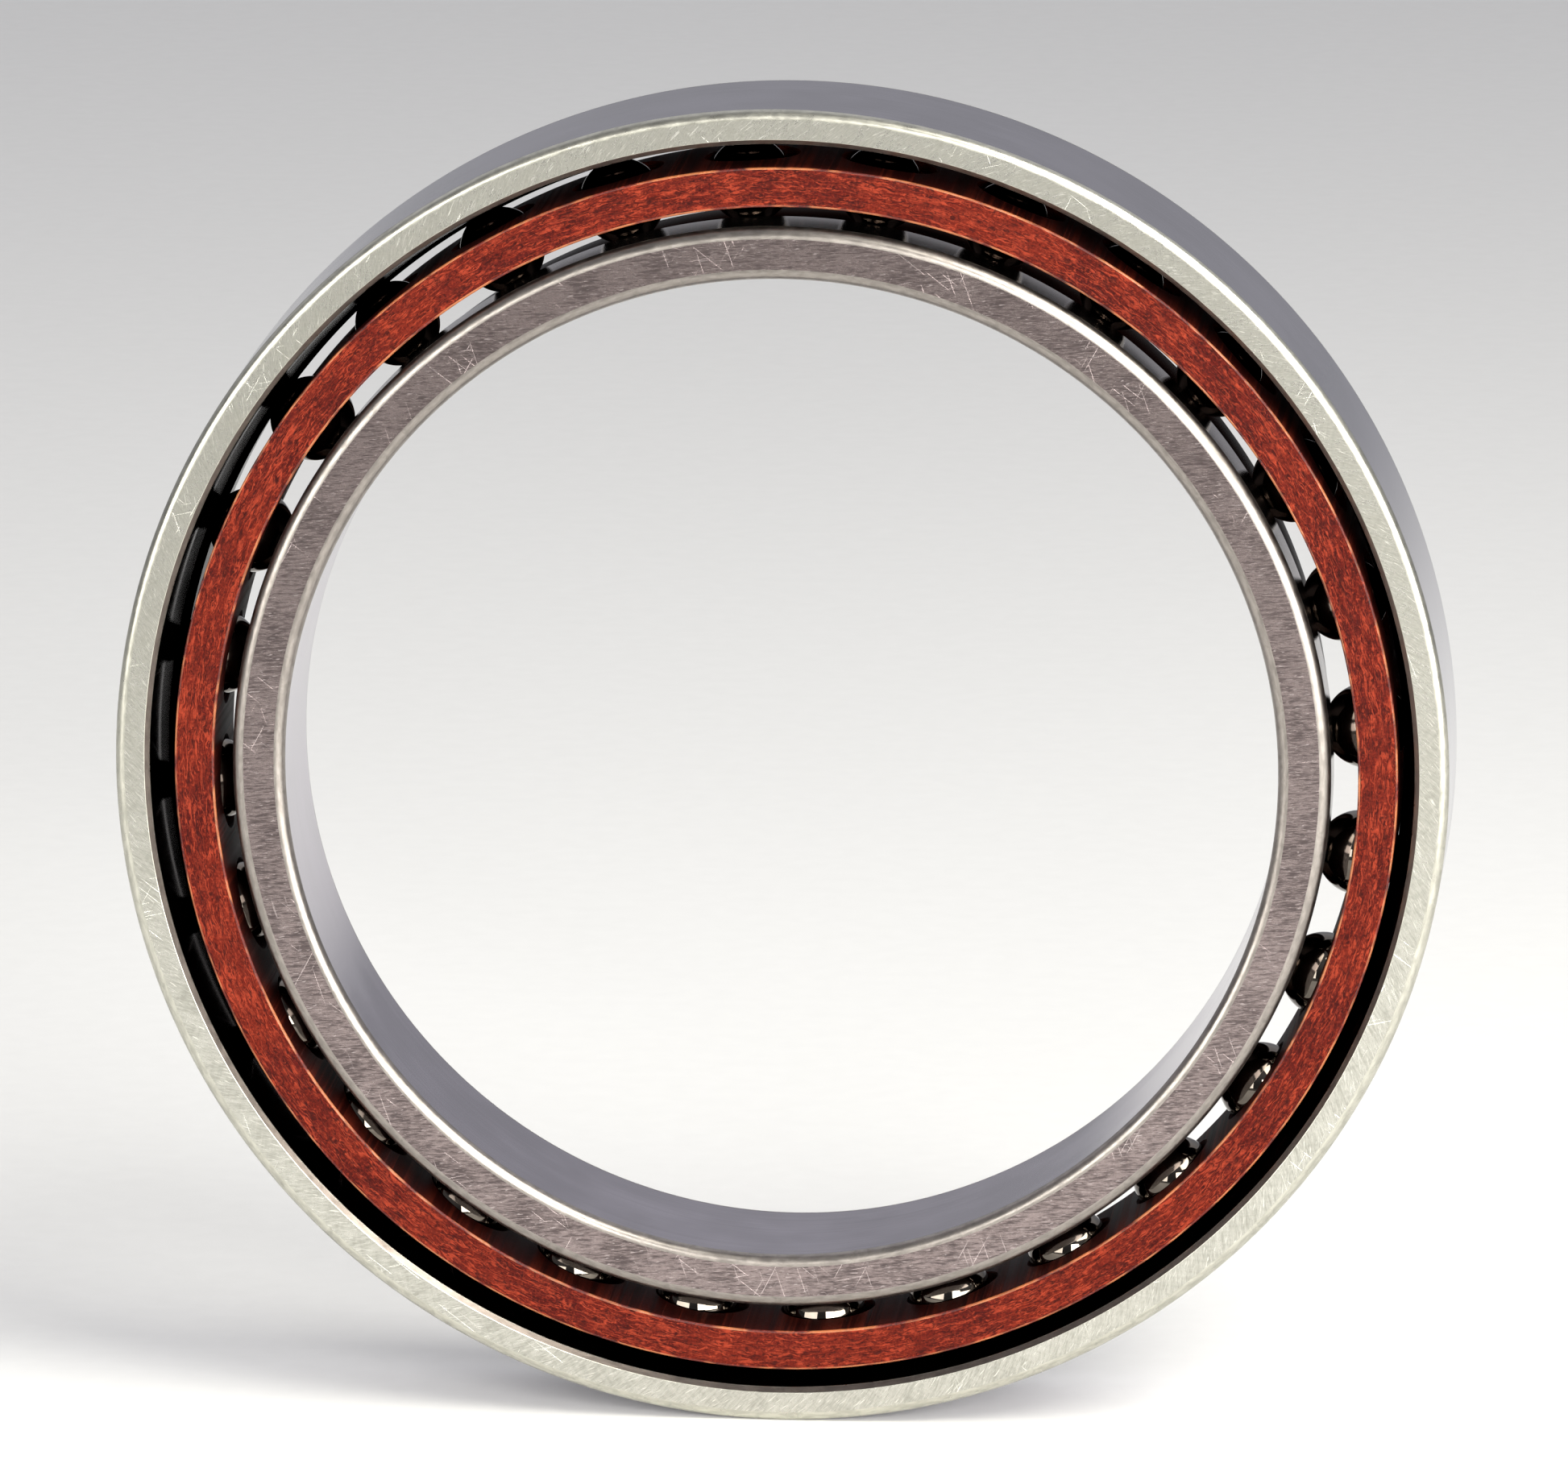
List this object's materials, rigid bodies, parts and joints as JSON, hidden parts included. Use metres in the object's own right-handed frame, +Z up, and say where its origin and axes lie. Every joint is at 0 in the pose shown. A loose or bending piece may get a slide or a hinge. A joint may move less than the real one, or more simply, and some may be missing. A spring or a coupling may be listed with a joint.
{
  "type": "angular contact ball bearing",
  "caption": "Thin open angular contact ball bearing: two steel rings with offset shoulders, a full row of steel balls and a one-piece phenolic cage.",
  "frame": {"origin": "centre of the bearing: on its axis, halfway between the two faces", "axes": "+Y along the bearing axis, from the front face (relieved outer shoulder) to the back face (wide outer shoulder); +Z up with the bearing standing upright; +X to the right seen from the front"},
  "size_m": [0.047, 0.007, 0.047],
  "materials": {
    "outer_ring_steel": "ground faces, polished outside diameter",
    "inner_ring_steel": "ground faces, polished bore",
    "cage_phenolic": "machined fabric laminate",
    "ball_steel": "polished"
  },
  "bodies": {
    "outer_ring_body": {"outer_ring": "outer_ring_steel"},
    "inner_ring_body": {"inner_ring": "inner_ring_steel"},
    "cage_body": {"cage": "cage_phenolic"},
    "ball_01_body": {"ball_01": "ball_steel"},
    "ball_02_body": {"ball_02": "ball_steel"},
    "ball_03_body": {"ball_03": "ball_steel"},
    "ball_04_body": {"ball_04": "ball_steel"},
    "ball_05_body": {"ball_05": "ball_steel"},
    "ball_06_body": {"ball_06": "ball_steel"},
    "ball_07_body": {"ball_07": "ball_steel"},
    "ball_08_body": {"ball_08": "ball_steel"},
    "ball_09_body": {"ball_09": "ball_steel"},
    "ball_10_body": {"ball_10": "ball_steel"},
    "ball_11_body": {"ball_11": "ball_steel"},
    "ball_12_body": {"ball_12": "ball_steel"},
    "ball_13_body": {"ball_13": "ball_steel"},
    "ball_14_body": {"ball_14": "ball_steel"},
    "ball_15_body": {"ball_15": "ball_steel"},
    "ball_16_body": {"ball_16": "ball_steel"},
    "ball_17_body": {"ball_17": "ball_steel"},
    "ball_18_body": {"ball_18": "ball_steel"},
    "ball_19_body": {"ball_19": "ball_steel"},
    "ball_20_body": {"ball_20": "ball_steel"},
    "ball_21_body": {"ball_21": "ball_steel"},
    "ball_22_body": {"ball_22": "ball_steel"},
    "ball_23_body": {"ball_23": "ball_steel"},
    "ball_24_body": {"ball_24": "ball_steel"},
    "ball_25_body": {"ball_25": "ball_steel"},
    "ball_26_body": {"ball_26": "ball_steel"},
    "ball_27_body": {"ball_27": "ball_steel"},
    "ball_28_body": {"ball_28": "ball_steel"}
  },
  "joints": [
    {"name": "inner_ring_spin", "type": "hinge", "parent": "outer_ring_body", "child": "inner_ring_body", "pos_m": [0, 0, 0], "axis": [0, 1, 0], "continuous": true},
    {"name": "cage_orbit", "type": "hinge", "parent": "outer_ring_body", "child": "cage_body", "pos_m": [0, 0, 0], "axis": [0, 1, 0], "continuous": true},
    {"name": "ball_01_spin", "type": "hinge", "parent": "cage_body", "child": "ball_01_body", "pos_m": [0.02046, 0, 0.00132], "axis": [-0.2583, 0.9659, -0.0167], "continuous": true},
    {"name": "ball_02_spin", "type": "hinge", "parent": "cage_body", "child": "ball_02_body", "pos_m": [0.01965, 0, 0.00584], "axis": [-0.2481, 0.9659, -0.0738], "continuous": true},
    {"name": "ball_03_spin", "type": "hinge", "parent": "cage_body", "child": "ball_03_body", "pos_m": [0.01786, 0, 0.01007], "axis": [-0.2255, 0.9659, -0.1271], "continuous": true},
    {"name": "ball_04_spin", "type": "hinge", "parent": "cage_body", "child": "ball_04_body", "pos_m": [0.01517, 0, 0.01379], "axis": [-0.1915, 0.9659, -0.1741], "continuous": true},
    {"name": "ball_05_spin", "type": "hinge", "parent": "cage_body", "child": "ball_05_body", "pos_m": [0.01172, 0, 0.01682], "axis": [-0.148, 0.9659, -0.2123], "continuous": true},
    {"name": "ball_06_spin", "type": "hinge", "parent": "cage_body", "child": "ball_06_body", "pos_m": [0.00768, 0, 0.01901], "axis": [-0.097, 0.9659, -0.2399], "continuous": true},
    {"name": "ball_07_spin", "type": "hinge", "parent": "cage_body", "child": "ball_07_body", "pos_m": [0.00326, 0, 0.02024], "axis": [-0.0412, 0.9659, -0.2555], "continuous": true},
    {"name": "ball_08_spin", "type": "hinge", "parent": "cage_body", "child": "ball_08_body", "pos_m": [-0.00132, 0, 0.02046], "axis": [0.0167, 0.9659, -0.2583], "continuous": true},
    {"name": "ball_09_spin", "type": "hinge", "parent": "cage_body", "child": "ball_09_body", "pos_m": [-0.00584, 0, 0.01965], "axis": [0.0738, 0.9659, -0.2481], "continuous": true},
    {"name": "ball_10_spin", "type": "hinge", "parent": "cage_body", "child": "ball_10_body", "pos_m": [-0.01007, 0, 0.01786], "axis": [0.1271, 0.9659, -0.2255], "continuous": true},
    {"name": "ball_11_spin", "type": "hinge", "parent": "cage_body", "child": "ball_11_body", "pos_m": [-0.01379, 0, 0.01517], "axis": [0.1741, 0.9659, -0.1915], "continuous": true},
    {"name": "ball_12_spin", "type": "hinge", "parent": "cage_body", "child": "ball_12_body", "pos_m": [-0.01682, 0, 0.01172], "axis": [0.2123, 0.9659, -0.148], "continuous": true},
    {"name": "ball_13_spin", "type": "hinge", "parent": "cage_body", "child": "ball_13_body", "pos_m": [-0.01901, 0, 0.00768], "axis": [0.2399, 0.9659, -0.097], "continuous": true},
    {"name": "ball_14_spin", "type": "hinge", "parent": "cage_body", "child": "ball_14_body", "pos_m": [-0.02024, 0, 0.00326], "axis": [0.2555, 0.9659, -0.0412], "continuous": true},
    {"name": "ball_15_spin", "type": "hinge", "parent": "cage_body", "child": "ball_15_body", "pos_m": [-0.02046, 0, -0.00132], "axis": [0.2583, 0.9659, 0.0167], "continuous": true},
    {"name": "ball_16_spin", "type": "hinge", "parent": "cage_body", "child": "ball_16_body", "pos_m": [-0.01965, 0, -0.00584], "axis": [0.2481, 0.9659, 0.0738], "continuous": true},
    {"name": "ball_17_spin", "type": "hinge", "parent": "cage_body", "child": "ball_17_body", "pos_m": [-0.01786, 0, -0.01007], "axis": [0.2255, 0.9659, 0.1271], "continuous": true},
    {"name": "ball_18_spin", "type": "hinge", "parent": "cage_body", "child": "ball_18_body", "pos_m": [-0.01517, 0, -0.01379], "axis": [0.1915, 0.9659, 0.1741], "continuous": true},
    {"name": "ball_19_spin", "type": "hinge", "parent": "cage_body", "child": "ball_19_body", "pos_m": [-0.01172, 0, -0.01682], "axis": [0.148, 0.9659, 0.2123], "continuous": true},
    {"name": "ball_20_spin", "type": "hinge", "parent": "cage_body", "child": "ball_20_body", "pos_m": [-0.00768, 0, -0.01901], "axis": [0.097, 0.9659, 0.2399], "continuous": true},
    {"name": "ball_21_spin", "type": "hinge", "parent": "cage_body", "child": "ball_21_body", "pos_m": [-0.00326, 0, -0.02024], "axis": [0.0412, 0.9659, 0.2555], "continuous": true},
    {"name": "ball_22_spin", "type": "hinge", "parent": "cage_body", "child": "ball_22_body", "pos_m": [0.00132, 0, -0.02046], "axis": [-0.0167, 0.9659, 0.2583], "continuous": true},
    {"name": "ball_23_spin", "type": "hinge", "parent": "cage_body", "child": "ball_23_body", "pos_m": [0.00584, 0, -0.01965], "axis": [-0.0738, 0.9659, 0.2481], "continuous": true},
    {"name": "ball_24_spin", "type": "hinge", "parent": "cage_body", "child": "ball_24_body", "pos_m": [0.01007, 0, -0.01786], "axis": [-0.1271, 0.9659, 0.2255], "continuous": true},
    {"name": "ball_25_spin", "type": "hinge", "parent": "cage_body", "child": "ball_25_body", "pos_m": [0.01379, 0, -0.01517], "axis": [-0.1741, 0.9659, 0.1915], "continuous": true},
    {"name": "ball_26_spin", "type": "hinge", "parent": "cage_body", "child": "ball_26_body", "pos_m": [0.01682, 0, -0.01172], "axis": [-0.2123, 0.9659, 0.148], "continuous": true},
    {"name": "ball_27_spin", "type": "hinge", "parent": "cage_body", "child": "ball_27_body", "pos_m": [0.01901, 0, -0.00768], "axis": [-0.2399, 0.9659, 0.097], "continuous": true},
    {"name": "ball_28_spin", "type": "hinge", "parent": "cage_body", "child": "ball_28_body", "pos_m": [0.02024, 0, -0.00326], "axis": [-0.2555, 0.9659, 0.0412], "continuous": true}
  ],
  "couplings": [
    {"joint": "cage_orbit", "follows": "inner_ring_spin", "ratio": 0.46466},
    {"joint": "ball_01_spin", "follows": "inner_ring_spin", "ratio": -6.7992},
    {"joint": "ball_02_spin", "follows": "inner_ring_spin", "ratio": -6.7992},
    {"joint": "ball_03_spin", "follows": "inner_ring_spin", "ratio": -6.7992},
    {"joint": "ball_04_spin", "follows": "inner_ring_spin", "ratio": -6.7992},
    {"joint": "ball_05_spin", "follows": "inner_ring_spin", "ratio": -6.7992},
    {"joint": "ball_06_spin", "follows": "inner_ring_spin", "ratio": -6.7992},
    {"joint": "ball_07_spin", "follows": "inner_ring_spin", "ratio": -6.7992},
    {"joint": "ball_08_spin", "follows": "inner_ring_spin", "ratio": -6.7992},
    {"joint": "ball_09_spin", "follows": "inner_ring_spin", "ratio": -6.7992},
    {"joint": "ball_10_spin", "follows": "inner_ring_spin", "ratio": -6.7992},
    {"joint": "ball_11_spin", "follows": "inner_ring_spin", "ratio": -6.7992},
    {"joint": "ball_12_spin", "follows": "inner_ring_spin", "ratio": -6.7992},
    {"joint": "ball_13_spin", "follows": "inner_ring_spin", "ratio": -6.7992},
    {"joint": "ball_14_spin", "follows": "inner_ring_spin", "ratio": -6.7992},
    {"joint": "ball_15_spin", "follows": "inner_ring_spin", "ratio": -6.7992},
    {"joint": "ball_16_spin", "follows": "inner_ring_spin", "ratio": -6.7992},
    {"joint": "ball_17_spin", "follows": "inner_ring_spin", "ratio": -6.7992},
    {"joint": "ball_18_spin", "follows": "inner_ring_spin", "ratio": -6.7992},
    {"joint": "ball_19_spin", "follows": "inner_ring_spin", "ratio": -6.7992},
    {"joint": "ball_20_spin", "follows": "inner_ring_spin", "ratio": -6.7992},
    {"joint": "ball_21_spin", "follows": "inner_ring_spin", "ratio": -6.7992},
    {"joint": "ball_22_spin", "follows": "inner_ring_spin", "ratio": -6.7992},
    {"joint": "ball_23_spin", "follows": "inner_ring_spin", "ratio": -6.7992},
    {"joint": "ball_24_spin", "follows": "inner_ring_spin", "ratio": -6.7992},
    {"joint": "ball_25_spin", "follows": "inner_ring_spin", "ratio": -6.7992},
    {"joint": "ball_26_spin", "follows": "inner_ring_spin", "ratio": -6.7992},
    {"joint": "ball_27_spin", "follows": "inner_ring_spin", "ratio": -6.7992},
    {"joint": "ball_28_spin", "follows": "inner_ring_spin", "ratio": -6.7992}
  ]
}
